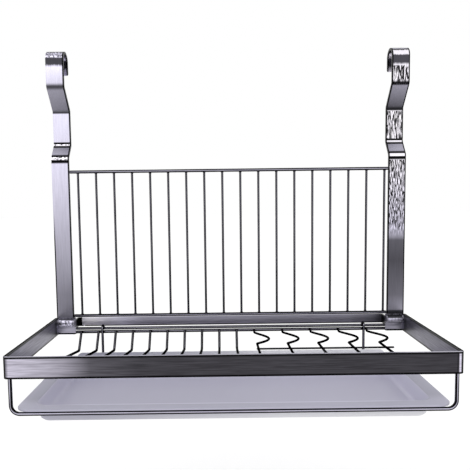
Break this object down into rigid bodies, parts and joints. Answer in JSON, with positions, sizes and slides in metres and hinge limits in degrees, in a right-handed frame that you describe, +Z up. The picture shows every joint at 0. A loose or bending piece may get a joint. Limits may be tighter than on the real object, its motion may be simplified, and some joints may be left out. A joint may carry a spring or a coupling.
{
  "type": "folding dish drainer",
  "caption": "Wall-side dish drainer with two rail hooks, a wire back, a folding shelf of plate and cup wires and a lift-out drip tray.",
  "frame": {"origin": "the kitchen rail's axis, half-way between the two hooks", "axes": "+X along the rail, to the right as seen from the front; +Y towards the wall; +Z up"},
  "size_m": [0.45, 0.201, 0.4096],
  "materials": {
    "bar_steel": "brushed along the bar",
    "wire_steel": "bright drawn wire",
    "pin_steel": "bright",
    "tray_plastic": "satin, slightly see-through"
  },
  "bodies": {
    "hanging_frame": {"left_strap": "bar_steel", "right_strap": "bar_steel", "crossbar": "bar_steel", "left_hinge_bracket": "bar_steel", "right_hinge_bracket": "bar_steel", "left_hinge_pin": "pin_steel", "right_hinge_pin": "pin_steel", "back_top_wire": "wire_steel", "back_bottom_wire": "wire_steel", "back_wire_01": "wire_steel", "back_wire_02": "wire_steel", "back_wire_03": "wire_steel", "back_wire_04": "wire_steel", "back_wire_05": "wire_steel", "back_wire_06": "wire_steel", "back_wire_07": "wire_steel", "back_wire_08": "wire_steel", "back_wire_09": "wire_steel", "back_wire_10": "wire_steel", "back_wire_11": "wire_steel", "back_wire_12": "wire_steel", "back_wire_13": "wire_steel", "back_wire_14": "wire_steel", "back_wire_15": "wire_steel", "back_wire_16": "wire_steel", "back_wire_17": "wire_steel", "back_wire_18": "wire_steel"},
    "shelf": {"shelf_frame": "bar_steel", "rear_upper_rail": "wire_steel", "rear_lower_rail": "wire_steel", "front_rail": "wire_steel", "plate_wire_01": "wire_steel", "plate_wire_02": "wire_steel", "plate_wire_03": "wire_steel", "plate_wire_04": "wire_steel", "plate_wire_05": "wire_steel", "plate_wire_06": "wire_steel", "plate_wire_07": "wire_steel", "plate_wire_08": "wire_steel", "plate_wire_09": "wire_steel", "plate_wire_10": "wire_steel", "cup_wire_1": "wire_steel", "cup_wire_2": "wire_steel", "cup_wire_3": "wire_steel", "cup_wire_4": "wire_steel", "cup_wire_5": "wire_steel", "cup_cross_wire": "wire_steel", "tray_front_wire": "wire_steel", "tray_hanger": "wire_steel"},
    "tray": {"drip_tray": "tray_plastic"}
  },
  "joints": [
    {"name": "shelf_fold", "type": "hinge", "parent": "hanging_frame", "child": "shelf", "pos_m": [0, -0.0083, -0.3304], "axis": [-1, 0, 0], "range_deg": [0, 90]},
    {"name": "tray_tilt", "type": "hinge", "parent": "shelf", "child": "tray", "pos_m": [0, -0.013, -0.3803], "axis": [-1, 0, 0], "range_deg": [0, 9]}
  ]
}
